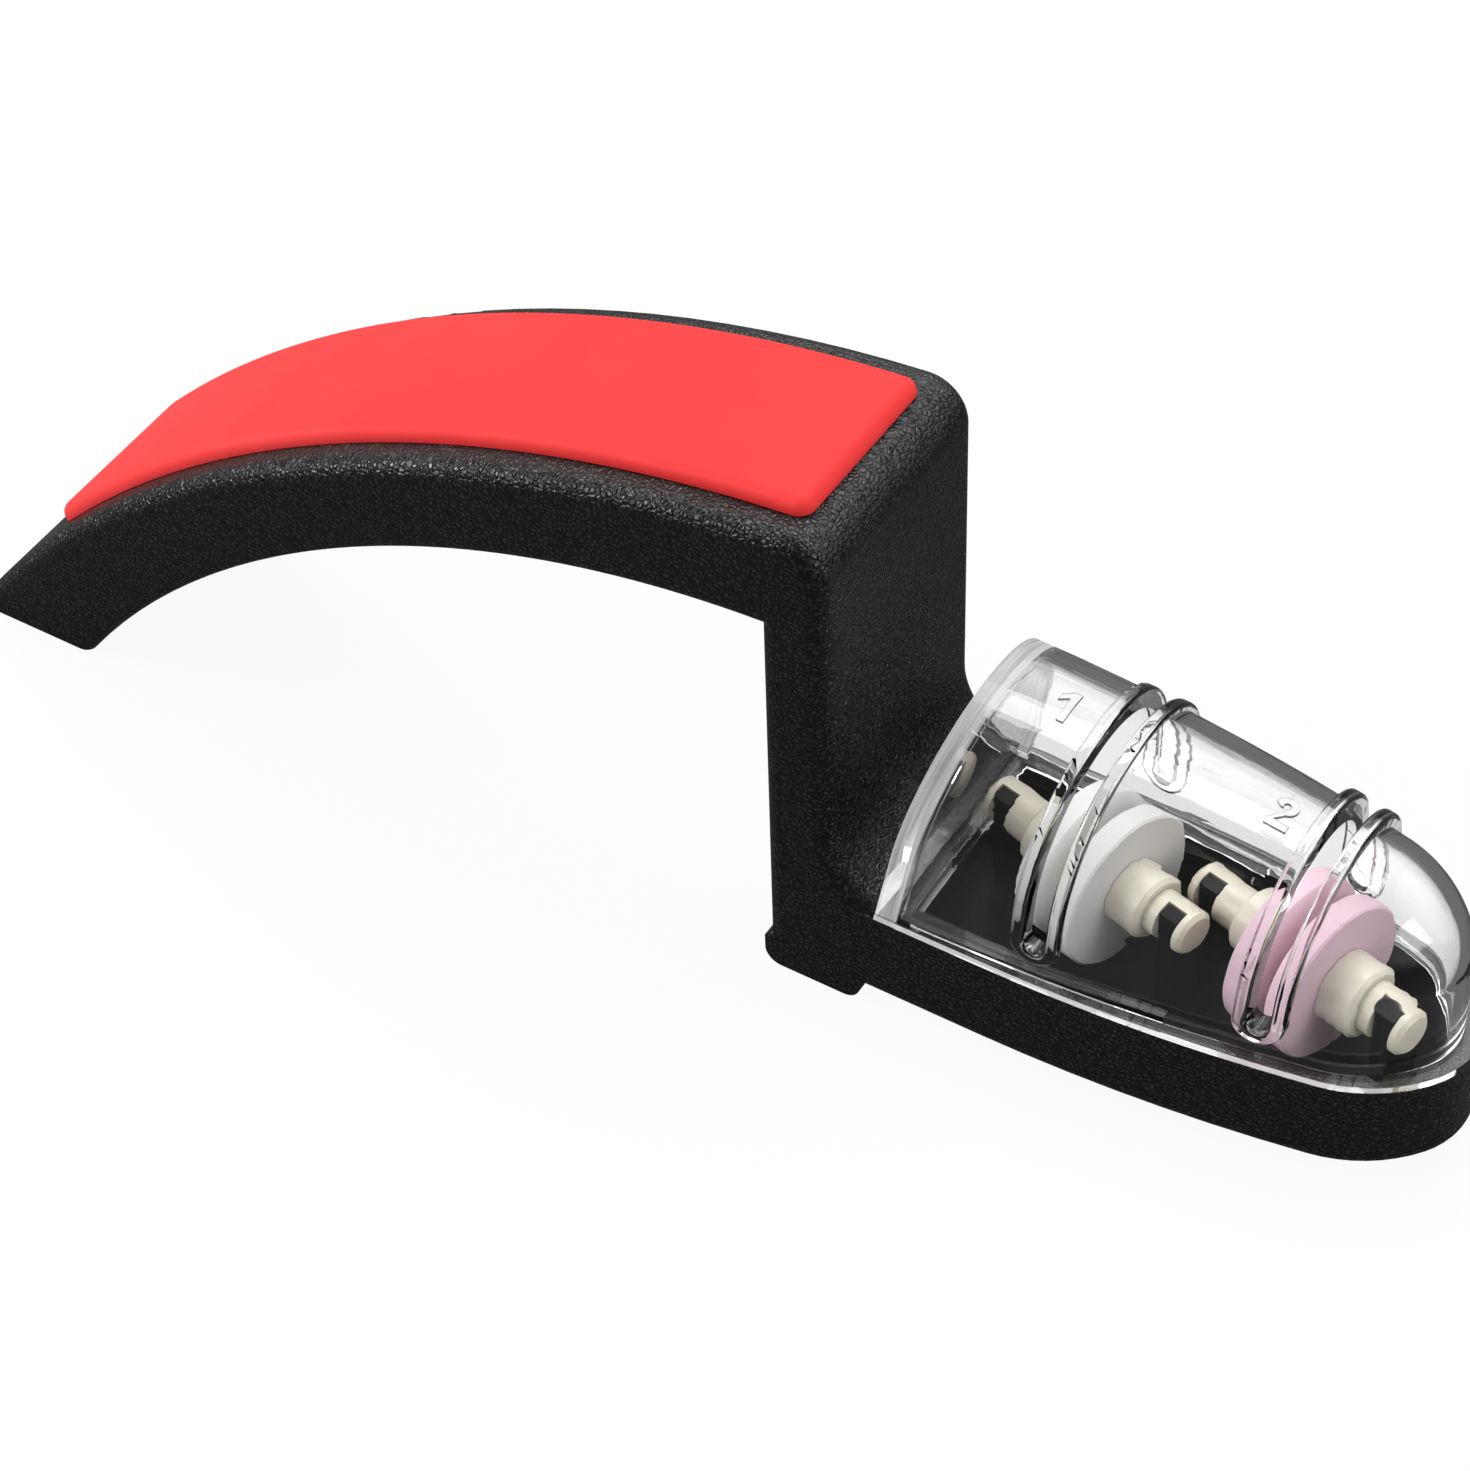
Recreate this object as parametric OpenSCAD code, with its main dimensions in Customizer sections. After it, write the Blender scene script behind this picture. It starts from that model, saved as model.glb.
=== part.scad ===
// Pull through knife sharpener with two wheel stations under a clear cover.
// X runs from the tail of the grip to the nose, Z is up, and Z = 0 is the table.
// Lengths along X are measured from the front face of the column, and place() moves
// the whole model so that the origin is under the middle of it.

/* [Body] */
// Width of the body
body_w = 40; // [36:0.5:46]
// Thickness of the column along the body
column_t = 10.2; // [9:0.1:14]
// Height of the top of the base, where the cover sits
rim_z = 18.6; // [17.6:0.1:21]
// Height of the underside of the base
base_z = 3; // [2.5:0.1:4]
// Radius of the long rounded edges of the body
edge_r = 3; // [1:0.1:4]
// Radius along the bottom edge of the base
bottom_r = 2.5; // [1:0.1:3]
// Wall of the base around the tray
base_wall = 2; // [1.6:0.1:2.6]
// Radius where the column meets the top of the base
root_r = 12.5; // [10:0.5:14]

/* [Grip] */
// Radius of the top of the arch
arch_r = 201.5; // [195:0.5:208]
// Distance of that arch's centre ahead of the column's front face
arch_x = 10.1; // [6:0.1:14]
// Height that the arch's curve would reach over its centre
arch_top = 83.3; // [80:0.1:86]
// Radius of the underside of the arch
under_r = 161.1; // [156:0.1:164]
// Distance of the underside's centre ahead of the column's front face
under_x = -0.7; // [-3:0.1:2]
// Thickness between the tops of the two curves
arch_t = 16.8; // [15:0.1:18]
// Radius of the corner at the top of the column
crown_r = 6.5; // [5:0.1:8]
// Thickness of the soft pad
pad_t = 2.2; // [1.5:0.1:3]
// Width of the soft pad
pad_w = 29; // [27:0.5:31]
// Angle that the soft pad spans along the arch
pad_angle = 40; // [36:0.5:41]
// Thickness of the plate that carries the pad
carrier_t = 3; // [2.4:0.1:4]
// Width of that plate
carrier_w = 23.6; // [22:0.2:25]
// Floor left under the hollow of the grip
grip_floor = 3; // [2.4:0.1:4]

/* [Base outline] */
// Reach of the nose ahead of the column's front face
nose_x = 88.2; // [87:0.1:92]
// Amount by which the radius of the shoulders exceeds half the width
shoulder_out = 2; // [1:0.5:3]
// Amount by which the radius of the tip falls short of half the width
tip_in = 8; // [7.5:0.5:9]

/* [Cover] */
// Height of the axis of the cover's rounded top
crown_z = 32.4; // [31.4:0.1:34]
// Wall of the cover
cover_wall = 2; // [1.5:0.1:2.2]
// Thickness of the rim that sits on the base
flange_t = 1.2; // [1:0.1:1.6]
// Distance from the column's front face to the foot of the cover's back
cover_x = 7.6; // [7.4:0.1:8.4]
// Lean of the cover's back
back_lean = 11; // [8:0.5:12]
// Thickness of the frame round the cover's back
frame_t = 3.4; // [2.8:0.1:4]
// Step from the rim in to the dome at the back
dome_step = 0.15; // [0.1:0.05:0.3]
// Step from the rim in to the dome at the nose
dome_back = 2.6; // [2.2:0.1:2.8]
// Amount by which the radius of the dome's shoulders exceeds half its width
dome_shoulder_out = 0.2; // [0:0.1:0.5]
// Amount by which the radius of the dome's tip falls short of half its width
dome_tip_in = 9.3; // [9:0.1:9.8]
// Height of a numeral
numeral_h = 5.6; // [4.5:0.1:6]
// Width of a numeral's strokes
numeral_w = 1.1; // [0.8:0.1:1.3]
// Height by which a numeral stands proud
numeral_t = 0.4; // [0.3:0.05:0.6]

/* [Slots] */
// Width of a knife slot
slot_w = 3.2; // [2.6:0.1:3.6]
// Thickness of the raised lip on each side of a slot
lip_t = 2; // [1.4:0.1:2.4]
// Lean of a slot
slot_lean = 4.2; // [3:0.1:5]
// Height of the round lower end of a slot
slot_z = 27; // [26:0.1:28]

/* [Wheels] */
// Radius of a ceramic disc
wheel_r = 11.5; // [10.6:0.1:11.8]
// Half of the length over a pair of discs
pair_half = 5.2; // [4.8:0.1:5.6]
// Half of the width of the V-groove at the rim
groove_half = 1.9; // [1.5:0.1:2.4]
// Radius at the bottom of the V-groove
groove_r = 5.8; // [5.6:0.1:7]
// Height of the wheels' axis
axle_z = 23.5; // [23:0.1:24.2]
// Turn of the axes away from the length of the body
yaw = 14.5; // [12:0.5:15]
// Distance of each pair of discs ahead of the column's front face
wheel_x = [31.8, 63.6];
// Distance of a pair of discs off the middle of its spindle
shift = 1.15; // [1:0.05:1.4]

/* [Spindles] */
// Radius of a spindle
spindle_r = 3.4; // [3.2:0.1:3.6]
// Half of the length of a spindle
spindle_half = 18.45; // [18.2:0.05:18.6]
// Radius of a bush between its disc and the post
boss_r = 5; // [4.9:0.1:5.3]
// Radius of a bush inside its disc
journal_r = 4.5; // [4.4:0.05:4.6]
// Half of the length over a pair of bushes
bush_half = 10.7; // [10.2:0.1:10.9]
// Distance of each post from the middle of its spindle
post_s = 15.35; // [15.1:0.05:15.5]
// Size of a post along the spindle
post_l = 2.9; // [2.4:0.1:3]
// Thickness of the upright part of a post
post_w = 2; // [1.6:0.1:2.4]
// Height of a post's top above the axis
post_top = 3.2; // [2:0.1:3.4]
// Distance of the flat of a spindle's notch in front of its axis
flat_t = 0.1; // [0:0.05:0.4]

/* [Tray and plate] */
// Wall of the tray
tray_wall = 1.4; // [1:0.1:1.6]
// Thickness of the tray's floor
tray_floor = 1.6; // [1.2:0.1:2]
// Thickness of the ledge between the tray and the base plate
ledge_t = 3; // [2.5:0.1:3.4]
// Thickness of the base plate
plate_t = 2; // [1.6:0.1:2.2]
// Amount by which the feet stand below the body
foot_proud = 0.4; // [0.3:0.1:0.6]

/* [Screws] */
// Radius of a screw's shank
screw_r = 1.4; // [1.2:0.05:1.6]
// Radius of a screw's head
head_r = 2.6; // [2.3:0.05:2.8]
// Radius of a boss that takes a screw
screw_boss_r = 3; // [2.8:0.1:3.4]

/* [Hidden] */
$fn = 96;
run_fit = 0.07;     // radial clearance of a turning fit
slide_fit = 0.2;    // side clearance of pieces that lift off or slide
seat = 0.1;         // clearance of fixed pieces in their seats
skin = 0.05;        // gap between faces that are glued
over = 1;           // how far a cutter runs past what it cuts
half_w = body_w / 2;

// The grip's arches, in the upright middle plane
arch_c = [arch_x, arch_top - arch_r];
under_c = [under_x, arch_top - arch_t - under_r];
crown_cz = arch_c[1] + sqrt(pow(arch_r - crown_r, 2) - pow(arch_c[0] + crown_r, 2));
crown_join = arch_c[0] - (arch_c[0] + crown_r) * arch_r / (arch_r - crown_r);
tail_x = arch_c[0] - sqrt(pow(arch_r, 2) - pow(foot_proud - arch_c[1], 2));
tail_in_x = under_c[0] - sqrt(pow(under_r, 2) - pow(foot_proud - under_c[1], 2));
pad_from = acos((crown_join - arch_c[0]) / arch_r);
pocket_r = arch_r - carrier_t - seat;
pocket_trim = 0.8;  // degrees by which the carrier stops short of the pad's ends
grip_screw_at = [0.14, 0.5, 0.86];
core_wall = 2.4;    // wall between the column's core and its front and back
core_side = 4;      // wall between the core and the sides
core_top = 14;      // depth of the core's end below the crown's centre
pad_edge = 4;       // distance of the feet's recesses from the edges of the body

// Outlines with straight sides that run through long arcs and shoulders to a round tip. Each holds half
// the width, the amounts by which the tip's and the shoulders' radii differ from it, and the reach
rim = [half_w, tip_in, shoulder_out, nose_x];
dome = [half_w - dome_step, dome_tip_in, dome_shoulder_out, nose_x - dome_back];

ahead = -(tail_x + nose_x) / 2;

// Heights from the base plate up to the tray
plate_top = base_z + plate_t;
ledge_top = plate_top + ledge_t;
floor_z = ledge_top + tray_floor;
plate_inset = bottom_r + 2.5;
ledge_inset = plate_inset + 2;
tray_inset = base_wall + seat;
well_inset = tray_inset + tray_wall;
spigot_inset = well_inset + slide_fit;
spigot_t = 1.2;
spigot_h = 2;
spigot_to = 50;
well_x = cover_x + 1.4;
base_screw_at = [[18, 9], [18, -9], [77, 0]];
foot_from = 26;
foot_to = 70;

// Distance of each numeral behind its wheels
numeral_back = 5.9;

cradle_gap = 0.1;   // clearance of a spindle over the slope it rests on
cradle_w = 3.6;     // reach of that slope behind the axis
chamfer = 0.6;

// The arcs of an outline, 0 for the side, 1 for the shoulder and 2 for the tip. They meet on lines of
// slope 60:11 and 3:4 through their centres, and both triangles have whole sides, 61 and 5
function tip_share(o) = (o[1] + o[2]) / 5;
function side_share(o) = o[1] - 2 * tip_share(o);
function radius(o, k) =
    k == 0 ? o[0] + 60 * side_share(o) + 3 * tip_share(o) :
    k == 1 ? o[0] + o[2] : o[0] - o[1];
function centre(o, k) =
    k == 2 ? [o[3] - radius(o, 2), 0] :
    k == 1 ? centre(o, 2) - tip_share(o) * [4, 3] : centre(o, 1) - side_share(o) * [11, 60];
function side_x(o) = centre(o, 0)[0];

// The zone of one arc above the middle line
module zone(o, k) {
    foot = [centre(o, 1)[0] + 0.55 * tip_share(o), 0];
    top = centre(o, 1) + o[0] * [0.275, 1.5];
    tip = centre(o, 2);
    far = tip + o[0] * [1.6, 1.2];
    if (k == 0) polygon([[side_x(o), 0], foot, top, [side_x(o), top[1]]]);
    if (k == 1) polygon([foot, tip, far, [far[0], top[1]], top]);
    if (k == 2) polygon([tip, [far[0], 0], far]);
}

module place() { translate([ahead, 0, 0]) children(); }

// A turned shape whose axis lies across the body at [x, z]
module across(at) { translate([at[0], 0, at[1]]) rotate([90, 0, 0]) children(); }

// Half section of a disc with rounded rims, for a turned shape
module rim_section(r, e) {
    translate([0, -half_w]) square([r - e, 2 * half_w]);
    translate([0, e - half_w]) square([r, 2 * (half_w - e)]);
    for (s = [-1, 1]) translate([r - e, s * (half_w - e)]) circle(e, $fn = 48);
}

// Half section of a cutter that leaves rounded edges on a hollow curve
module flare_section(r, e) {
    translate([0, -half_w - over]) square([r, 2 * (half_w + over)]);
    for (s = [0, 1]) mirror([0, s]) difference() {
        translate([r - 0.01, half_w - e]) square([e + 0.01, e + over]);
        translate([r + e, half_w - e]) circle(e, $fn = 48);
    }
}

// Half of an outline at an inset, above the middle line, from a place along the body on
module half_outline(o, inset, from) {
    if (from < side_x(o)) translate([from, 0]) square([side_x(o) - from, o[0] - inset]);
    intersection() {
        union() for (k = [0 : 2]) intersection() {
            zone(o, k);
            translate(centre(o, k)) circle(radius(o, k) - inset, $fn = 720);
        }
        translate([max(from, side_x(o)), 0]) square([nose_x, half_w]);
    }
}

module outline(o, inset, from) { for (m = [0, 1]) mirror([0, m]) half_outline(o, inset, from); }

// Section of the base's edge at a radius, with the rounded bottom
module base_section(r) {
    h = rim_z - base_z;
    square([r - bottom_r, h]);
    translate([0, bottom_r]) square([r, h - bottom_r]);
    translate([r - bottom_r, bottom_r]) circle(bottom_r, $fn = 48);
}

// Outside of the base, with its rounded bottom edge
module base_block() {
    x0 = -column_t / 2;
    translate([x0, 0, base_z]) rotate([90, 0, 90]) linear_extrude(side_x(rim) - x0)
        for (m = [0, 1]) mirror([m, 0]) base_section(half_w);
    for (m = [0, 1]) mirror([0, m, 0]) for (k = [0 : 2]) intersection() {
        linear_extrude(rim_z) zone(rim, k);
        translate([centre(rim, k)[0], centre(rim, k)[1], base_z])
            rotate_extrude($fn = 720) base_section(radius(rim, k));
    }
}

// Arched band of the grip, rounded along its edges
module arch_block() {
    difference() {
        intersection() {
            across(arch_c) rotate_extrude($fn = 720) rim_section(arch_r, edge_r);
            translate([tail_x - over, -half_w, foot_proud])
                cube([crown_join - tail_x + over, body_w, arch_r]);
        }
        across(under_c) rotate_extrude($fn = 720) flare_section(under_r, edge_r / 2);
    }
}

// Column with rounded upright edges, its rounded crown and its foot
module column_block() {
    r = edge_r;
    translate([0, 0, base_z]) linear_extrude(crown_cz - base_z) {
        translate([-column_t, r - half_w]) square([column_t, body_w - 2 * r]);
        translate([r - column_t, -half_w]) square([column_t - 2 * r, body_w]);
        for (x = [r - column_t, -r]) for (s = [-1, 1]) translate([x, s * (half_w - r)]) circle(r, $fn = 48);
    }
    intersection() {
        across([-crown_r, crown_cz]) rotate_extrude() rim_section(crown_r, edge_r);
        translate([crown_join, -half_w, crown_cz]) cube([column_t, body_w, 2 * crown_r]);
    }
    heel_block();
}

// Foot of the column, down to just above the table
module heel_block() {
    r = base_z - foot_proud;
    translate([0, half_w, 0]) rotate([90, 0, 0]) linear_extrude(body_w) {
        translate([r - column_t, foot_proud]) square([column_t, r]);
        translate([r - column_t, base_z]) circle(r, $fn = 48);
        translate([0, base_z]) intersection() {
            translate([r, 0]) circle(r, $fn = 48);
            translate([0, -r]) square([2 * r, r]);
        }
        translate([-column_t, base_z]) square([column_t + 2 * r, bottom_r]);
    }
}

// Hollow curve between the column and the top of the base
module root_block() {
    reach = cover_x - slide_fit;
    difference() {
        translate([-edge_r, -half_w, rim_z - over]) cube([reach + edge_r, body_w, root_r + over]);
        across([root_r, rim_z + root_r]) rotate_extrude() flare_section(root_r, edge_r);
    }
}

// Wedge of the upright plane between two angles of the arch
module wedge(from, to) {
    reach = 2 * arch_r;
    polygon([arch_c, arch_c + reach * [cos(from), sin(from)], arch_c + reach * [cos(to), sin(to)]]);
}

// Hollow of the grip under the carrier
module grip_hollow() {
    w = carrier_w - 4;
    translate([0, w / 2, 0]) rotate([90, 0, 0]) linear_extrude(w) intersection() {
        difference() {
            translate(arch_c) circle(pocket_r + seat, $fn = 720);
            translate(under_c) circle(under_r + grip_floor, $fn = 720);
        }
        wedge(pad_from + 3 * pocket_trim, pad_from + pad_angle - 3 * pocket_trim);
    }
}

// Part of a ring of the arch, from one radius to another and one angle to another
module arch_ring(r0, r1, w, from, to) {
    across(arch_c) rotate([0, 0, from]) rotate_extrude(angle = to - from, $fn = 720)
        translate([r0, -w / 2]) square([r1 - r0, w]);
}

// Puts children on the arch, the Z axis pointing out of it, at a share of the pad's angle
module on_arch(share) {
    a = pad_from + share * pad_angle;
    translate([arch_c[0], 0, arch_c[1]]) rotate([0, 90 - a, 0]) children();
}

// Radius, from the arch's centre, at which its spoke leaves the curve of the given radius
function spoke_out(share, r) =
    let (a = pad_from + share * pad_angle, u = [cos(a), sin(a)], v = arch_c - under_c,
         b = u * v, c = v * v - r * r)
    -b + sqrt(b * b - c);

module grip_screw_cut(share) {
    under = spoke_out(share, under_r);
    on_arch(share) {
        translate([0, 0, under - over]) cylinder(r = screw_r + slide_fit, h = grip_floor + 3 * over);
        translate([0, 0, under - 2 * over]) cylinder(r = head_r + slide_fit, h = 3.2 * over);
    }
}

// One moulding: grip, column and base housing
module body_shell() {
    color([0.05, 0.05, 0.055]) place() difference() {
        union() {
            arch_block();
            column_block();
            root_block();
            base_block();
        }
        // Well for the tray, the ledge's opening and the recess for the plate
        translate([0, 0, ledge_top]) linear_extrude(rim_z) outline(rim, base_wall, well_x);
        linear_extrude(rim_z) outline(rim, ledge_inset, well_x + 2);
        linear_extrude(plate_top) outline(rim, plate_inset, well_x);
        // Pocket for the carrier, and the hollow under it
        arch_ring(pocket_r, arch_r + over, carrier_w + 2 * seat,
            pad_from + pocket_trim - 0.05, pad_from + pad_angle - pocket_trim + 0.05);
        grip_hollow();
        for (s = grip_screw_at) grip_screw_cut(s);
        // Core of the column, and the recesses for two of the feet
        translate([core_wall - column_t, core_side - half_w, 0])
            cube([column_t - 2 * core_wall, body_w - 2 * core_side, crown_cz - core_top]);
        heel_pad(seat, over);
        tail_pad(seat, over);
    }
}

module heel_pad(grow, drop) {
    translate([1.4 - column_t - grow, 3 - half_w - grow, -drop])
        cube([column_t + 2 * grow, body_w - 6 + 2 * grow, 2.4 + drop + grow]);
}

module tail_pad(grow, drop) {
    l = tail_in_x - tail_x - 2 * pad_edge;
    translate([tail_x + pad_edge + 1 - grow, pad_edge - half_w - grow, -drop])
        cube([l + 2 * grow, body_w - 2 * pad_edge + 2 * grow, 2 + drop + grow]);
}

module grip_carrier() {
    color([0.12, 0.12, 0.13]) place() difference() {
        union() {
            arch_ring(pocket_r + seat, arch_r - skin, carrier_w, pad_from + pocket_trim,
                pad_from + pad_angle - pocket_trim);
            for (s = grip_screw_at) {
                foot = spoke_out(s, under_r + grip_floor) + 0.3;
                on_arch(s) translate([0, 0, foot]) cylinder(r = screw_boss_r, h = pocket_r + 0.5 - foot);
            }
        }
        for (s = grip_screw_at) on_arch(s)
            translate([0, 0, spoke_out(s, under_r)]) cylinder(r = screw_r + skin, h = grip_floor + 5.6);
    }
}

module grip_pad() {
    r = pad_t * 0.75;
    color([0.9, 0.16, 0.15]) place()
        across(arch_c) rotate([0, 0, pad_from]) rotate_extrude(angle = pad_angle, $fn = 720) {
            translate([arch_r + skin, -pad_w / 2]) square([pad_t - r, pad_w]);
            translate([arch_r + skin, r - pad_w / 2]) square([pad_t, pad_w - 2 * r]);
            for (s = [-1, 1]) intersection() {
                translate([arch_r + skin + pad_t - r, s * (pad_w / 2 - r)]) circle(r, $fn = 48);
                translate([arch_r + skin, -pad_w / 2]) square([pad_t, pad_w]);
            }
        }
}

// Pan head screw, its head's underside at 0 and its shank up to h
module screw(h) {
    cylinder(r = screw_r, h = h);
    difference() {
        translate([0, 0, -1.6]) cylinder(r = head_r, h = 1.6);
        for (a = [0, 90]) rotate([0, 0, a]) translate([-1.6, -0.35, -1.7]) cube([3.2, 0.7, 0.9]);
    }
}

module grip_screws() {
    color("silver") place() for (s = grip_screw_at) on_arch(s)
        translate([0, 0, spoke_out(s, under_r) + 1.2 * over - skin]) screw(grip_floor + 3.6);
}

module water_tray() {
    color([0.06, 0.06, 0.07]) place() {
        difference() {
            union() {
                translate([0, 0, ledge_top]) linear_extrude(rim_z - ledge_top) outline(rim, tray_inset, well_x + seat);
                for (p = base_screw_at) translate([p[0], p[1], plate_top + skin])
                    cylinder(r = screw_boss_r, h = ledge_t + skin);
            }
            translate([0, 0, floor_z]) linear_extrude(rim_z) outline(rim, well_inset, well_x + seat + tray_wall);
            for (p = base_screw_at) translate([p[0], p[1], plate_top])
                cylinder(r = screw_r + skin, h = ledge_t + 0.6);
        }
        for (x = wheel_x) on_axle(x, -shift) for (s = [-1, 1]) post(s * post_s);
    }
}

// Puts children on a station's axis, which becomes X, at a distance along it from the discs
module on_axle(x, s) { translate([x, 0, axle_z]) rotate([0, 0, -yaw]) translate([s, 0, 0]) children(); }

// Post that stands in the notch of a spindle, with a slope behind it that the spindle rests on. The slope
// falls 1 in 2, so its distance from the axis is its drop under the axis times cos(atan(1 / 2))
module post(s) {
    sunk = floor_z - 0.5 - axle_z;
    back = -flat_t - slide_fit;
    drop = (spindle_r + cradle_gap) / cos(atan(0.5));
    translate([s - post_l / 2, 0, 0]) rotate([90, 0, 90]) linear_extrude(post_l)
        polygon([[back - post_w, sunk], [cradle_w, sunk], [cradle_w, cradle_w / 2 - drop], [0.5, 0.25 - drop],
            [back, 0.25 - drop], [back, post_top], [back - post_w, post_top - 0.3]]);
}

module base_plate() {
    color([0.1, 0.1, 0.1]) place() difference() {
        translate([0, 0, base_z]) linear_extrude(plate_t - skin) outline(rim, plate_inset + seat, well_x + seat);
        for (p = base_screw_at) translate([p[0], p[1], 0]) {
            cylinder(r = screw_r + slide_fit, h = rim_z);
            cylinder(r = head_r + slide_fit, h = base_z + 0.9);
        }
    }
}

module base_screws() {
    color("silver") place() for (p = base_screw_at)
        translate([p[0], p[1], base_z + 0.9 - skin]) screw(ledge_t + 1.2);
}

module front_foot() {
    color([0.08, 0.08, 0.08]) place() linear_extrude(base_z - skin) difference() {
        outline(rim, ledge_inset, foot_from);
        translate([foot_to, -half_w]) square([nose_x, body_w]);
    }
}

module heel_foot() { color([0.08, 0.08, 0.08]) place() heel_pad(0, 0); }
module tail_foot() { color([0.08, 0.08, 0.08]) place() tail_pad(0, 0); }

// Upright walls on an outline, from a height up, under a round top whose half width is the outline's
module bullet(o, inset, from) {
    translate([0, 0, from]) linear_extrude(crown_z - from) outline(o, inset, 0);
    translate([0, 0, crown_z]) rotate([0, 90, 0]) rotate([0, 0, 90]) rotate_extrude(angle = 180, $fn = 256)
        mirror([1, 0]) rotate(90) half_outline(o, inset, 0);
}

// All that lies ahead of the cover's leaning back, at a depth inside it
module ahead_of_back(depth) {
    translate([cover_x, 0, rim_z + flange_t / 2]) rotate([0, back_lean, 0])
        translate([depth, -body_w, -body_w]) cube([3 * body_w, 2 * body_w, 3 * body_w]);
}

// Leaning slot with a round lower end, of a given width
module slot_shape(x, w) {
    translate([x, 0, axle_z]) rotate([0, slot_lean, 0]) translate([0, 0, slot_z - axle_z]) {
        translate([-w / 2, -body_w, 0]) cube([w, 2 * body_w, body_w]);
        translate([0, body_w, 0]) rotate([90, 0, 0]) cylinder(d = w, h = 2 * body_w, $fn = 32);
    }
}

// Numeral 1 or 2, upright along Y and centred on the origin
module numeral(i) {
    h = numeral_h;
    w = numeral_w;
    r = h * 0.29;
    if (i == 0) polygon([[-w / 2, -h / 2], [w / 2, -h / 2], [w / 2, h / 2], [-w / 2, h / 2],
        [-w / 2 - 1.4, h / 2 - 1.2], [-w / 2 - 1.4, h / 2 - 2.4], [-w / 2, h / 2 - 1.4]]);
    if (i == 1) {
        difference() {
            translate([0, h / 2 - r]) circle(r);
            translate([0, h / 2 - r]) circle(r - w);
            translate([-r - over, -h / 2]) square([r + over, h - r - 0.4]);
            rotate(-40) translate([-2 * r, -h]) square([4 * r, h]);
        }
        polygon([[-r, -h / 2], [r, -h / 2], [r, w - h / 2], [w * 0.8 - r, w - h / 2], [r * 0.98, h / 2 - r * 1.2],
            [r * 0.98 - w, h / 2 - r * 1.1], [-r, w * 0.8 - h / 2]]);
    }
}

module cover() {
    from = rim_z + skin;
    inner = spigot_inset + spigot_t;
    back = well_x + seat + tray_wall + slide_fit;
    color([0.85, 0.9, 0.92, 0.35]) place() {
        difference() {
            union() {
                intersection() {
                    union() {
                        bullet(dome, 0, from);
                        intersection() {
                            bullet(rim, 0, from);
                            union() for (x = wheel_x) slot_shape(x, slot_w + 2 * lip_t);
                        }
                        translate([0, 0, from]) linear_extrude(flange_t - skin) outline(rim, 0, 0);
                    }
                    ahead_of_back(0);
                }
                intersection() {
                    translate([0, 0, rim_z - spigot_h]) linear_extrude(spigot_h + flange_t)
                        outline(rim, spigot_inset, back);
                    translate([0, -body_w, 0]) cube([spigot_to, 2 * body_w, body_w]);
                }
            }
            // Opening in the underside: inside the spigot, and ahead of it inside the dome
            translate([0, 0, rim_z - over - spigot_h]) linear_extrude(spigot_h + flange_t + 2 * over) {
                outline(rim, inner, back + spigot_t);
                outline(dome, cover_wall, spigot_to);
            }
            intersection() {
                bullet(dome, cover_wall, rim_z + flange_t);
                ahead_of_back(frame_t);
            }
            intersection() {
                bullet(dome, cover_wall + 1.2, rim_z + flange_t);
                ahead_of_back(cover_wall);
            }
            for (x = wheel_x) slot_shape(x, slot_w);
        }
        for (i = [0, 1]) intersection() {
            translate([wheel_x[i] - numeral_back, 0, crown_z]) linear_extrude(body_w) numeral(i);
            difference() {
                bullet(dome, -numeral_t, crown_z - over);
                bullet(dome, skin, crown_z - 2 * over);
            }
        }
    }
}

// Spindle with a notch for a post in the front of each end
module spindle(i) {
    notch = post_l + 2 * slide_fit;
    color([0.9, 0.88, 0.8]) place() on_axle(wheel_x[i], -shift) difference() {
        rotate([0, 90, 0]) rotate_extrude() polygon([[0, -spindle_half], [spindle_r - chamfer, -spindle_half],
            [spindle_r, chamfer - spindle_half], [spindle_r, spindle_half - chamfer],
            [spindle_r - chamfer, spindle_half], [0, spindle_half]]);
        for (s = [-1, 1]) translate([s * post_s - notch / 2, -body_w / 2 - flat_t, -body_w / 4])
            cube([notch, body_w / 2, body_w / 2]);
    }
}

// Flanged bush on one side of a pair of discs: s is -1 for the left one, 1 for the right one
module bush(i, s) {
    bore = spindle_r + run_fit;
    face = pair_half + seat;
    color([0.93, 0.91, 0.84]) place() on_axle(wheel_x[i], 0) rotate([0, s * 90, 0])
        rotate_extrude() polygon([[bore, skin], [journal_r, skin], [journal_r, face], [boss_r, face],
            [boss_r, bush_half - chamfer], [boss_r - chamfer, bush_half], [bore, bush_half]]);
}

// Ceramic disc with one sloping face, half of the V-groove
module wheel(i, s) {
    bore = journal_r + run_fit;
    c = chamfer / 2;
    color(i == 0 ? [0.93, 0.93, 0.92] : [0.88, 0.68, 0.76]) place() on_axle(wheel_x[i], 0) rotate([0, s * 90, 0])
        rotate_extrude() polygon([[bore, skin], [groove_r, skin], [wheel_r - c, groove_half - c],
            [wheel_r, groove_half], [wheel_r, pair_half - c], [wheel_r - c, pair_half], [bore, pair_half]]);
}

module spindle_1() { spindle(0); }
module bush_left_1() { bush(0, -1); }
module bush_right_1() { bush(0, 1); }
module wheel_left_1() { wheel(0, -1); }
module wheel_right_1() { wheel(0, 1); }
module spindle_2() { spindle(1); }
module bush_left_2() { bush(1, -1); }
module bush_right_2() { bush(1, 1); }
module wheel_left_2() { wheel(1, -1); }
module wheel_right_2() { wheel(1, 1); }

body_shell();
grip_carrier();
grip_pad();
grip_screws();
water_tray();
base_plate();
base_screws();
front_foot();
heel_foot();
tail_foot();
cover();
spindle_1();
bush_left_1();
bush_right_1();
wheel_left_1();
wheel_right_1();
spindle_2();
bush_left_2();
bush_right_2();
wheel_left_2();
wheel_right_2();
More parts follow.
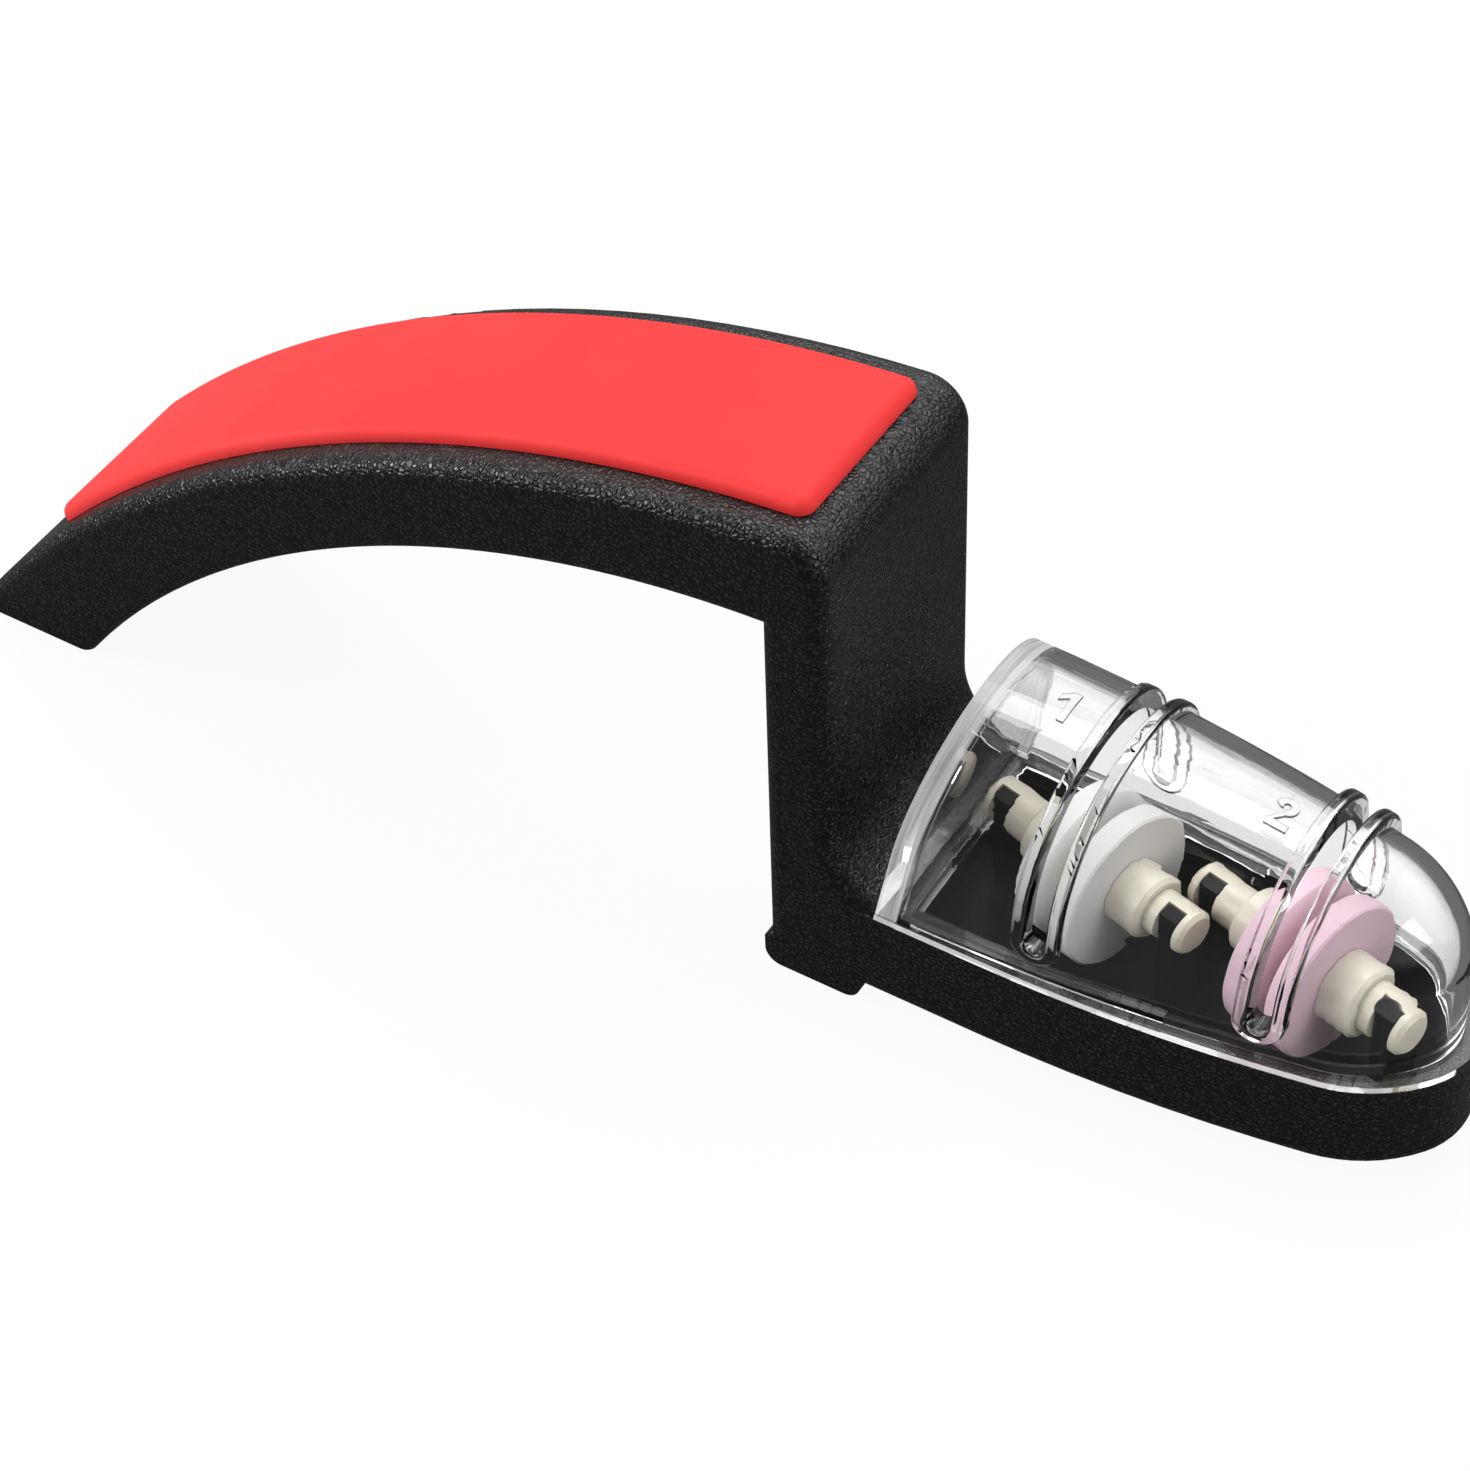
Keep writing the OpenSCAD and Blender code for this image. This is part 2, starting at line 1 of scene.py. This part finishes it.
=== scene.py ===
from math import cos, sin, radians

import bmesh
import bpy
from mathutils import Matrix, Vector


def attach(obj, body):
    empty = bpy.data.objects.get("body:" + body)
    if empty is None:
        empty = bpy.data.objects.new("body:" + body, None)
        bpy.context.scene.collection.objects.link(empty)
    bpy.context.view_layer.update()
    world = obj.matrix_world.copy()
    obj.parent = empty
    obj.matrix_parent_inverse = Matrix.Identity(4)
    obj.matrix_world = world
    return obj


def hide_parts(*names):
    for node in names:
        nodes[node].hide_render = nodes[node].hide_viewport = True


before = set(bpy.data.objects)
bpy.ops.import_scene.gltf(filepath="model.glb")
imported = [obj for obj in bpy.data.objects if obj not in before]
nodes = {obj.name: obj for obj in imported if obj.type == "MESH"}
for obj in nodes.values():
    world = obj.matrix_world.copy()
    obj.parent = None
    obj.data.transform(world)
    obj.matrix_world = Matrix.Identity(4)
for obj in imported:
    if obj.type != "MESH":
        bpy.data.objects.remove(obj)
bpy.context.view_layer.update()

mm = 0.001


# Shader maths: a socket that adds Math nodes as it is calculated with
class Value:
    def __init__(self, recipe, socket):
        self.recipe, self.socket = recipe, socket

    def math(self, operation, *values, clamp=False):
        return self.recipe.node("ShaderNodeMath", {"operation": operation, "use_clamp": clamp}, *values)

    def __add__(self, other):
        return self.math("ADD", self, other)

    def __radd__(self, other):
        return self.math("ADD", other, self)

    def __sub__(self, other):
        return self.math("SUBTRACT", self, other)

    def __rsub__(self, other):
        return self.math("SUBTRACT", other, self)

    def __mul__(self, other):
        return self.math("MULTIPLY", self, other)

    def __rmul__(self, other):
        return self.math("MULTIPLY", other, self)

    def __pow__(self, other):
        return self.math("POWER", self, other)

    def size(self):
        return self.math("ABSOLUTE", self)

    def atLeast(self, other):
        return self.math("MAXIMUM", self, other)

    def atMost(self, other):
        return self.math("MINIMUM", self, other)

    def clamped(self):
        return self.math("ADD", self, 0.0, clamp=True)


# Builds one node tree; last holds the newest node that node() made, for its other outputs
class Recipe:
    def __init__(self, tree):
        self.tree = tree
        tree.nodes.clear()

    def fill(self, socket, value):
        if isinstance(value, Value):
            self.tree.links.new(value.socket, socket)
        elif hasattr(value, "is_output"):
            self.tree.links.new(value, socket)
        elif hasattr(value, "__len__") and len(socket.default_value) > len(value):
            socket.default_value = (*value, 1)
        else:
            socket.default_value = value

    def node(self, kind, settings, *values, **named):
        made = self.tree.nodes.new(kind)
        for key, value in settings.items():
            setattr(made, key, value)
        for socket, value in zip(made.inputs, values):
            self.fill(socket, value)
        for key, value in named.items():
            self.fill(made.inputs[key.replace("_", " ")], value)
        self.last = made
        return Value(self, made.outputs[0]) if made.outputs else made

    def place(self):
        self.node("ShaderNodeTexCoord", {})
        return Value(self, self.last.outputs["Object"])

    def axes(self, vector):
        self.node("ShaderNodeSeparateXYZ", {}, vector)
        parts = self.last.outputs
        return [Value(self, parts[name]) for name in "XYZ"]

    def noise(self, at, scale, detail=3.0, roughness=0.5):
        return self.node("ShaderNodeTexNoise", {}, Vector=at, Scale=scale, Detail=detail,
                         Roughness=roughness)

    def seams(self, at, scale):
        return self.node("ShaderNodeTexVoronoi", {"feature": "DISTANCE_TO_EDGE"}, Vector=at, Scale=scale)

    def between(self, value, low, high, first=0.0, last=1.0):
        return self.node("ShaderNodeMapRange", {}, value, low, high, first, last)

    # Most of a noise's values lie between these two
    def swing(self, noise, first=0.0, last=1.0):
        return self.between(noise, 0.3, 0.7, first, last)

    def blend(self, share, first, second):
        made = self.tree.nodes.new("ShaderNodeMix")
        made.data_type = "RGBA"
        for index, value in ((0, share), (6, first), (7, second)):  # the colour sockets are 6 and 7
            self.fill(made.inputs[index], value)
        return Value(self, made.outputs[2])

    def bump(self, height, strength, distance):
        return self.node("ShaderNodeBump", {}, Strength=strength, Distance=distance, Height=height)

    def plastic(self, **named):
        return self.node("ShaderNodeBsdfPrincipled", {}, **named)

    def finish(self, shader):
        self.node("ShaderNodeOutputMaterial", {}, Surface=shader)


def newMaterial(name):
    made = bpy.data.materials.new(name)
    made.use_nodes = True
    return made, Recipe(made.node_tree)


def dress(piece, material):
    piece.data.materials.clear()
    piece.data.materials.append(material)


def darker(colour, share):
    return tuple(part * share for part in colour)


# Picks one object, with nothing else selected
def pick(piece):
    bpy.ops.object.select_all(action="DESELECT")
    piece.select_set(True)
    bpy.context.view_layer.objects.active = piece


# Selects the edges that pass a test, in edit mode
def edgesWhere(piece, test):
    mesh = bmesh.from_edit_mesh(piece.data)
    bpy.ops.mesh.select_all(action="DESELECT")
    bpy.ops.mesh.select_mode(type="EDGE")
    for edge in mesh.edges:
        edge.select = test(edge)
    bmesh.update_edit_mesh(piece.data)


# A merged, smooth copy of a CAD node that stands for it
def smoothCopy(name, body, crease=radians(32)):
    piece = bpy.data.objects.new(name + "Skin", nodes[name].data.copy())
    bpy.context.scene.collection.objects.link(piece)
    pick(piece)
    bpy.ops.mesh.customdata_custom_splitnormals_clear()
    bpy.ops.object.mode_set(mode="EDIT")
    bpy.ops.mesh.select_all(action="SELECT")
    bpy.ops.mesh.remove_doubles(threshold=0.002 * mm)
    bpy.ops.object.mode_set(mode="OBJECT")
    bpy.ops.object.shade_smooth_by_angle(angle=crease)
    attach(piece, body)
    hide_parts(name)
    return piece


print("body")
# A noise's or a cell's scale counts repeats per metre: 1000 is about one per millimetre
# The valley colour is painted shade in the grain's valleys, and the crest colour is a painted highlight on
# its crests
bodyLook = {"valleyShade": (0.0015, 0.0015, 0.0017), "crestHighlight": (0.019, 0.019, 0.0195),
            "swirl": 420, "swirlSize": 0.9 * mm, "pebble": 1200, "seam": 0.26, "pebbleShare": 0.6,
            "leather": 1500, "sheenPatches": 55, "leastSheen": 0.7, "crestFrom": (0.5, 0.85), "grainSpan": (0.35, 0.85),
            "roughness": (0.35, 0.21), "depth": 0.15 * mm, "shine": 0.36, "ior": 1.5}


# Black moulding with a leather grain: pebbles bent by a swirl and glossier on their crests; its colour
# paints highlights on the crests and shade in the valleys, varied in patches
def bodyPlastic():
    look = bodyLook
    made, r = newMaterial("bodyBlack")
    at = r.place()
    r.noise(at, look["swirl"], 2.0)
    warped = r.node("ShaderNodeVectorMath", {"operation": "MULTIPLY_ADD"}, r.last.outputs["Color"],
                    (look["swirlSize"],) * 3, at)
    pebbles = r.between(r.seams(warped, look["pebble"]), 0.0, look["seam"])
    leather = r.noise(warped, look["leather"], 2.5, 0.55)
    grain = pebbles * look["pebbleShare"] + leather * (1 - look["pebbleShare"])
    sheenPatches = r.swing(r.noise(at, look["sheenPatches"], 4.0), look["leastSheen"], 1.0)
    # Painted light: the grain's crests are painted pale as highlights and its valleys dark as shade, and the
    # patches vary how pale the crests get
    tint = r.blend(r.between(grain, *look["crestFrom"]) * sheenPatches, look["valleyShade"], look["crestHighlight"])
    r.finish(r.plastic(Base_Color=tint, Roughness=r.between(grain, *look["grainSpan"], *look["roughness"]),
                       IOR=look["ior"], Specular_IOR_Level=look["shine"],
                       Normal=r.bump(grain, 1.0, look["depth"])))
    return made


dress(smoothCopy("body_shell", "housing"), bodyPlastic())

print("tray, plates, screws and feet")
smoothLook = {"cloud": 90, "fine": 1400, "bump": 0.12, "depth": 0.02 * mm, "shade": 0.88, "spread": 0.04,
              "ior": 1.5}
trayLook = {"colour": (0.006, 0.006, 0.0065), "roughness": 0.22, "shine": 0.08}
plateLook = {"colour": (0.014, 0.014, 0.015), "roughness": 0.5, "shine": 0.5}
footLook = {"colour": (0.016, 0.016, 0.016), "roughness": 0.75, "shine": 0.5}
steelLook = {"dark": (0.55, 0.55, 0.56), "light": (0.68, 0.68, 0.68), "cloud": 900,
             "roughness": (0.25, 0.42)}


def smoothPlastic(name, own):
    look = smoothLook
    made, r = newMaterial(name)
    at = r.place()
    cloud = r.noise(at, look["cloud"])
    fine = r.noise(at, look["fine"], 2.0)
    tint = r.blend(r.swing(cloud), own["colour"], darker(own["colour"], look["shade"]))
    rough = r.swing(cloud, own["roughness"] - look["spread"], own["roughness"] + look["spread"])
    r.finish(r.plastic(Base_Color=tint, Roughness=rough, IOR=look["ior"], Specular_IOR_Level=own["shine"],
                       Normal=r.bump(fine, look["bump"], look["depth"])))
    return made


def steel():
    look = steelLook
    made, r = newMaterial("screwSteel")
    cloud = r.noise(r.place(), look["cloud"])
    r.finish(r.plastic(Base_Color=r.blend(cloud, look["dark"], look["light"]),
                       Roughness=r.swing(cloud, *look["roughness"]), Metallic=1.0))
    return made


dress(smoothCopy("water_tray", "housing"), smoothPlastic("trayBlack", trayLook))
plateMade = smoothPlastic("carrierBlack", plateLook)
footMade = smoothPlastic("footRubber", footLook)
steelMade = steel()
for names, made in ((("grip_carrier", "base_plate"), plateMade), (("grip_screws", "base_screws"), steelMade),
                    (("front_foot", "heel_foot", "tail_foot"), footMade)):
    for name in names:
        dress(nodes[name], made)

print("pad")
# Its angles turn about the arch's centre, from +x upwards
padShape = {"centre": (42.4 * mm, 0, -118.2 * mm), "inner": 201.55 * mm, "thick": 2.2 * mm,
            "wide": 29.6 * mm, "from": radians(94.35), "span": radians(42.3), "steps": 48,
            "corner": 2.3 * mm, "cornerSteps": 8, "roll": 1.9 * mm, "rollSteps": 6,
            "close": 0.05 * mm, "merge": 0.01 * mm, "crease": radians(35)}
padLook = {"colour": (0.90, 0.038, 0.038), "shade": (0.85, 0.034, 0.034), "cloud": 45, "fine": 2600,
           "bump": 0.25, "depth": 0.02 * mm, "roughness": (0.55, 0.65), "shine": 0.35, "ior": 1.42}


def padRubber():
    look = padLook
    made, r = newMaterial("padRed")
    at = r.place()
    cloud = r.noise(at, look["cloud"])
    fine = r.noise(at, look["fine"], 2.0)
    tint = r.blend(r.between(cloud, 0.25, 0.75), look["colour"], look["shade"])
    r.finish(r.plastic(Base_Color=tint, Roughness=r.swing(cloud, *look["roughness"]), IOR=look["ior"],
                       Specular_IOR_Level=look["shine"], Normal=r.bump(fine, look["bump"], look["depth"])))
    return made


# The pad's section is spun along the arch, then its corners and the rim of its top are rounded
def gripPad():
    s = padShape
    centre = Vector(s["centre"])
    out = Vector((cos(s["from"]), 0, sin(s["from"])))
    bpy.ops.object.select_all(action="DESELECT")
    bpy.ops.mesh.primitive_plane_add(size=1, location=centre + out * (s["inner"] + s["thick"] / 2),
                                     rotation=(0, -s["from"], 0))
    piece = bpy.context.active_object
    piece.name = "gripPadSoft"
    piece.scale = (s["thick"], s["wide"], 1)
    bpy.ops.object.transform_apply(location=True, rotation=True, scale=True)
    bpy.ops.object.mode_set(mode="EDIT")
    bpy.ops.mesh.select_all(action="SELECT")
    bpy.ops.mesh.spin(steps=s["steps"], angle=s["span"], center=centre, axis=(0, 1, 0))
    bpy.ops.mesh.select_all(action="SELECT")
    bpy.ops.mesh.remove_doubles(threshold=s["merge"])
    bpy.ops.mesh.normals_make_consistent(inside=False)

    # An edge through the thickness that has one end face beside it
    def isCorner(edge):
        first, second = (vertex.co for vertex in edge.verts)
        span = second - first
        through = abs(span.normalized().dot(((first + second) / 2 - centre).normalized())) > 0.99
        ends = [face for face in edge.link_faces if abs(face.normal.y) < 0.3]
        return abs(span.length - s["thick"]) < s["close"] and through and len(ends) == 1

    # An edge of the outer face where the pad turns down
    def isRim(edge):
        radii = [(Vector((vertex.co.x, 0, vertex.co.z)) - centre).length for vertex in edge.verts]
        if min(radii) < s["inner"] + s["thick"] - s["close"] or len(edge.link_faces) != 2:
            return False
        return abs(edge.link_faces[0].normal.dot(edge.link_faces[1].normal)) < 0.5

    edgesWhere(piece, isCorner)
    bpy.ops.mesh.bevel(offset=s["corner"], segments=s["cornerSteps"], affect="EDGES", clamp_overlap=False)
    edgesWhere(piece, isRim)
    bpy.ops.mesh.bevel(offset=s["roll"], segments=s["rollSteps"], affect="EDGES", clamp_overlap=False)
    bpy.ops.object.mode_set(mode="OBJECT")
    bpy.ops.object.shade_smooth_by_angle(angle=s["crease"])
    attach(piece, "housing")
    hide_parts("grip_pad")
    dress(piece, padRubber())


gripPad()

print("cover")
# Places on the cover are in millimetres, and lengths for Blender's tools in metres. The dome's
# half width follows a long arc along x, and "proud" counts outward from the dome. The lips lean
# along x with the height above the axles.
coverShape = {"middle": 39.25, "arc": 355.55, "beyond": 335.7, "crown": 32.4, "crease": radians(28),
              "stations": (64.1, 95.9), "axle": 23.5, "lean": 0.0734, "reach": 4.2, "above": 21.5,
              "proud": 0.45, "sharp": radians(35), "round": 0.58 * mm, "roundSteps": 4,
              "merge": 0.04 * mm, "short": 0.06 * mm, "sliver": 0.03 * mm, "flat": radians(0.9),
              "lipCrease": radians(40)}
coverLook = {"tint": (0.955, 0.96, 0.965), "shadow": (0.92, 0.925, 0.93), "roughness": (0.006, 0.024),
             "haze": 30, "ripple": 55, "bump": 0.05, "depth": 0.3 * mm, "ior": 1.49,
             "numerals": {"colour": (0.80, 0.81, 0.82), "roughness": 0.55, "share": 0.4, "at": (58.2, 90.0),
                          "half": (2.9, 2.8), "above": (33, 33.2), "proud": (0.12, 0.22)},
             # The back's shares paint a pale, streaked band of light and reflections into the clear back
             # edge
             "back": {"at": (39.9, 19.2), "lean": radians(11), "deep": (3.4, 3.1), "above": (19.6, 20),
                      "proud": (-2.4, -2.2), "share": (0.35, 0.75), "across": 1.6, "along": 0.05},
             # The flange's pale colour is a painted highlight on its upward-facing faces
             "flange": {"colour": (0.86, 0.865, 0.86), "roughness": 0.3, "share": 0.75,
                        "low": (18.7, 18.75), "high": (19.75, 19.7), "upright": (0.5, 0.2),
                        "proud": (-0.5, -0.4)}}


# How far a place stands out from the dome, for numbers and shader values alike; rise is its
# height above the crown's axis
def proudOfDome(x, y, rise):
    s = coverShape
    along = x - s["middle"]
    halfWidth = (s["arc"] ** 2 - along * along) ** 0.5 - s["beyond"]
    return (y * y + rise * rise) ** 0.5 - halfWidth


# The shares of the cover that are frosted numerals, a painted band of light on the back edge and a painted
# highlight line on the flange
def numeralShare(r, x, z, proud):
    mark = coverLook["numerals"]
    near = [(x - place).size() for place in mark["at"]]
    beside = r.between(near[0].atMost(near[1]), *mark["half"])
    return r.between(proud, *mark["proud"]) * beside * r.between(z, *mark["above"]) * mark["share"]


# Painted light: the clear back edge is painted pale with streaks, standing in for the light and streaked
# reflections seen in its thickness
def backEdgeLightShare(r, x, y, z, proud):
    mark = coverLook["back"]
    startX, startZ = mark["at"]
    deep = (x - startX) * cos(mark["lean"]) - (z - startZ) * sin(mark["lean"])
    drawn = r.node("ShaderNodeCombineXYZ", {}, deep * mark["across"], y * mark["along"], z * mark["along"])
    reflectionStreaks = r.swing(r.noise(drawn, 1, 2.0), *mark["share"])
    inside = r.between(z, *mark["above"]) * r.between(proud, *mark["proud"])
    return r.between(deep, *mark["deep"]) * reflectionStreaks * inside


# Painted highlight: a pale line on the flange's upward-facing faces, where light falls on it
def flangeHighlightShare(r, z, proud):
    mark = coverLook["flange"]
    r.node("ShaderNodeNewGeometry", {})
    slope = r.axes(r.last.outputs["Normal"])[2]
    highlightLine = r.between(z, *mark["low"]) * r.between(z, *mark["high"]) * r.between(slope, *mark["upright"])
    return highlightLine * r.between(proud, *mark["proud"]) * mark["share"]


def clearPlastic():
    look = coverLook
    numerals, flange = look["numerals"], look["flange"]
    made, r = newMaterial("coverClear")
    at = r.place()
    x, y, z = (part * 1000 for part in r.axes(at))
    proud = proudOfDome(x, y, (z - coverShape["crown"]).atLeast(0))
    haze = r.between(r.noise(at, look["haze"]), 0.3, 0.8, *look["roughness"])
    ripple = r.bump(r.noise(at, look["ripple"], 1.5), look["bump"], look["depth"])
    clear = r.plastic(Base_Color=look["tint"], Roughness=haze, IOR=look["ior"], Transmission_Weight=1.0,
                      Normal=ripple)
    through = r.node("ShaderNodeBsdfTransparent", {}, look["shadow"])
    r.node("ShaderNodeLightPath", {})
    shader = r.node("ShaderNodeMixShader", {}, r.last.outputs["Is Shadow Ray"], clear, through)
    frostedAndEdgeLit = r.plastic(Base_Color=numerals["colour"], Roughness=numerals["roughness"])
    # The frosted material serves the numerals and also the painted band of light on the back edge
    frostAndEdgeLight = numeralShare(r, x, z, proud).atLeast(backEdgeLightShare(r, x, y, z, proud))
    shader = r.node("ShaderNodeMixShader", {}, frostAndEdgeLight, shader, frostedAndEdgeLit)
    lit = r.plastic(Base_Color=flange["colour"], Roughness=flange["roughness"])
    r.finish(r.node("ShaderNodeMixShader", {}, flangeHighlightShare(r, z, proud), shader, lit))
    return made


# Rounds the outer edges of the lips beside the knife slots
def roundLips(piece):
    s = coverShape

    def onLip(vertex):
        x, y, z = (value / mm for value in vertex.co)
        proud = proudOfDome(x, y, max(z - s["crown"], 0))
        near = min(abs(x - station - (z - s["axle"]) * s["lean"]) for station in s["stations"])
        return proud > s["proud"] and near < s["reach"] and z > s["above"]

    def isLip(edge):
        return all(onLip(vertex) for vertex in edge.verts)

    def isSharpLip(edge):
        return len(edge.link_faces) == 2 and edge.calc_face_angle() > s["sharp"] and isLip(edge)

    pick(piece)
    bpy.ops.object.mode_set(mode="EDIT")
    bpy.ops.mesh.select_all(action="SELECT")
    bpy.ops.mesh.remove_doubles(threshold=s["merge"])
    bpy.ops.mesh.select_all(action="SELECT")
    bpy.ops.mesh.dissolve_limited(angle_limit=s["flat"])
    # Short steps along the lips are drawn together first, or the bevel leaves thorns on them
    edgesWhere(piece, isLip)
    bpy.ops.mesh.remove_doubles(threshold=s["short"])
    bpy.ops.mesh.select_all(action="SELECT")
    bpy.ops.mesh.dissolve_limited(angle_limit=s["flat"])
    edgesWhere(piece, isSharpLip)
    bpy.ops.mesh.bevel(offset=s["round"], segments=s["roundSteps"], affect="EDGES", clamp_overlap=False,
                       loop_slide=False)
    bpy.ops.mesh.select_all(action="SELECT")
    bpy.ops.mesh.dissolve_degenerate(threshold=s["sliver"])
    bpy.ops.object.mode_set(mode="OBJECT")
    bpy.ops.object.shade_smooth_by_angle(angle=s["lipCrease"])


cover = smoothCopy("cover", "cover_body", crease=coverShape["crease"])
roundLips(cover)
dress(cover, clearPlastic())

print("wheels")
nylonLook = {"spindle": (0.67, 0.63, 0.51), "bush": (0.70, 0.665, 0.555), "shade": 0.9, "cloud": 160,
             "fine": 1800, "bump": 0.15, "depth": 0.02 * mm, "roughness": (0.26, 0.38), "ior": 1.53,
             "milk": 0.35, "milkRadius": (1.0, 0.85, 0.6), "milkScale": 1.5 * mm}
# Each stone has its colour and the colour of its specks
stoneLook = {"white": ((0.70, 0.69, 0.675), (0.63, 0.62, 0.60)),
             "pink": ((0.70, 0.505, 0.575), (0.63, 0.43, 0.51)),
             "grit": 4200, "speck": (0.45, 0.75), "cloud": 120, "stain": 0.35, "bump": 0.3,
             "depth": 0.03 * mm, "roughness": (0.5, 0.72), "ior": 1.5}


def nylon(name, colour):
    look = nylonLook
    made, r = newMaterial(name)
    at = r.place()
    cloud = r.noise(at, look["cloud"])
    fine = r.noise(at, look["fine"], 2.0)
    tint = r.blend(r.swing(cloud), colour, darker(colour, look["shade"]))
    r.finish(r.plastic(Base_Color=tint, Roughness=r.swing(cloud, *look["roughness"]), IOR=look["ior"],
                       Subsurface_Weight=look["milk"], Subsurface_Radius=look["milkRadius"],
                       Subsurface_Scale=look["milkScale"], Normal=r.bump(fine, look["bump"], look["depth"])))
    return made


def ceramic(name, colour, speck):
    look = stoneLook
    made, r = newMaterial(name)
    at = r.place()
    grit = r.noise(at, look["grit"], 3.0, 0.7)
    stain = r.between(r.noise(at, look["cloud"]), 0.3, 0.8, 0.0, look["stain"])
    tint = r.blend(stain, r.blend(r.between(grit, *look["speck"]), colour, speck), speck)
    r.finish(r.plastic(Base_Color=tint, Roughness=r.swing(grit, *look["roughness"]), IOR=look["ior"],
                       Normal=r.bump(grit, look["bump"], look["depth"])))
    return made


spindleMade = nylon("spindleNylon", nylonLook["spindle"])
bushMade = nylon("bushNylon", nylonLook["bush"])
whiteMade = ceramic("ceramicWhite", *stoneLook["white"])
pinkMade = ceramic("ceramicPink", *stoneLook["pink"])
for i, stoneSlot, stoneMade in ((1, "ceramic_white", whiteMade), (2, "ceramic_pink", pinkMade)):
    dress(smoothCopy(f"spindle_{i}", f"spindle_body_{i}"), spindleMade)
    for side in ("left", "right"):
        dress(smoothCopy(f"bush_{side}_{i}", f"wheel_pair_{i}"), bushMade)
        dress(smoothCopy(f"wheel_{side}_{i}", f"wheel_pair_{i}"), stoneMade)

print("stage")
bpy.context.scene.view_settings.view_transform = "Standard"
# The focal length is in pixels of the photo's frame, which is 1471 of them high
cameraSetup = {"place": Vector((244.37, -360.11, 461.89)) * mm, "azimuth": radians(33.606),
               "elevation": radians(45.699), "roll": radians(-2.171), "focal": 4354.46, "frame": 1471,
               "sensor": 36, "near": 0.01, "far": 20}
floorLook = {"size": 6, "paper": (0.88, 0.88, 0.88), "mirroredPaper": (0.07, 0.07, 0.07), "glow": 0.94,
             "mirroredGlow": 0.08}
# Each panel fades in towards its side of the room and with the height
studioLook = {"fill": 0.42, "dark": 0.12,
              "rear": {"toward": (0.1, 0.75), "height": (0.02, 0.5), "strength": 2.2},
              "left": {"toward": (0.45, 0.85), "height": (0.0, 0.3), "strength": 0.8},
              "right": {"toward": (0.6, 0.85), "height": (0.05, 0.3), "strength": 0.5}}
lamps = {"overhead": {"place": (-0.05, 0.35, 0.85), "aim": (0, 0, 0.03), "size": (0.8, 0.35), "power": 5.1},
         "front": {"place": (-0.66, -0.6, 0.6), "aim": (0, 0, 0.03), "size": (0.5, 0.25), "power": 3.0},
         "left": {"place": (-0.9, -0.27, 0.42), "aim": (-0.03, 0, 0.06), "size": (0.2, 0.24), "power": 3.2},
         "side": {"place": (0.9, 0.0, 0.55), "aim": (0.05, 0, 0.03), "size": (0.4, 0.4), "power": 1.9}}


def placeCamera():
    s = cameraSetup
    a, e, roll = s["azimuth"], s["elevation"], s["roll"]
    right = Vector((cos(a), sin(a), 0))
    back = Vector((sin(a) * cos(e), -cos(a) * cos(e), sin(e)))
    up = back.cross(right)
    turned = (right * cos(roll) + up * sin(roll), up * cos(roll) - right * sin(roll), back)
    data = bpy.data.cameras.new("camera")
    data.sensor_width = s["sensor"]
    data.lens = s["focal"] / s["frame"] * s["sensor"]
    data.clip_start, data.clip_end = s["near"], s["far"]
    made = bpy.data.objects.new("camera", data)
    made.matrix_world = Matrix.Translation(s["place"]) @ Matrix(turned).transposed().to_4x4()
    bpy.context.scene.collection.objects.link(made)
    bpy.context.scene.camera = made


# Two shares: the rays that see the white background, straight or through the cover, and those
# that were mirrored on their way. A refracted ray is a glossy one too, but only a mirrored one
# adds to the Glossy Depth.
def rayKinds(r):
    r.node("ShaderNodeLightPath", {})
    rays = r.last.outputs
    direct = 1 - Value(r, rays["Diffuse Depth"]).atMost(1)
    mirrored = Value(r, rays["Glossy Depth"]).atMost(1) * direct
    bent = (Value(r, rays["Is Glossy Ray"]) + Value(r, rays["Is Transmission Ray"])).atMost(1)
    return Value(r, rays["Is Camera Ray"]).atLeast(bent * (direct - mirrored)), mirrored


# The share of the paper that doesn't glow keeps the object's shadow
def floorPaper():
    look = floorLook
    made, r = newMaterial("floorPaper")
    seen, mirrored = rayKinds(r)
    matt = r.node("ShaderNodeBsdfDiffuse", {}, r.blend(mirrored, look["paper"], look["mirroredPaper"]))
    glow = r.node("ShaderNodeEmission", {}, (1, 1, 1), 1.0)
    share = seen * look["glow"] + mirrored * look["mirroredGlow"]
    r.finish(r.node("ShaderNodeMixShader", {}, share, matt, glow))
    return made


def addFloor():
    bpy.ops.object.select_all(action="DESELECT")
    bpy.ops.mesh.primitive_plane_add(size=floorLook["size"])
    floor = bpy.context.active_object
    floor.name = "floor"
    dress(floor, floorPaper())


# White to the camera and through the cover; mirrored rays see a dim room with three soft panels
def studioAir():
    look = studioLook
    world = bpy.data.worlds.new("studio")
    bpy.context.scene.world = world
    world.use_nodes = True
    r = Recipe(world.node_tree)
    seen, mirrored = rayKinds(r)
    r.node("ShaderNodeTexCoord", {})
    x, y, z = r.axes(r.last.outputs["Generated"])
    room = look["dark"]
    for name, along in (("rear", y), ("left", x * -1), ("right", x)):
        panel = look[name]
        room = r.between(along, *panel["toward"]) * r.between(z, *panel["height"]) * panel["strength"] + room
    strength = seen + mirrored * room + (1 - seen - mirrored).clamped() * look["fill"]
    r.node("ShaderNodeOutputWorld", {}, Surface=r.node("ShaderNodeBackground", {}, (1, 1, 1), strength))


def addLamp(name):
    lamp = lamps[name]
    data = bpy.data.lights.new(name, "AREA")
    data.shape = "RECTANGLE"
    data.size, data.size_y = lamp["size"]
    data.energy = lamp["power"]
    made = bpy.data.objects.new(name, data)
    made.location = lamp["place"]
    made.rotation_euler = (Vector(lamp["aim"]) - made.location).to_track_quat("-Z", "Y").to_euler()
    bpy.context.scene.collection.objects.link(made)


placeCamera()
addFloor()
studioAir()
for name in lamps:
    addLamp(name)
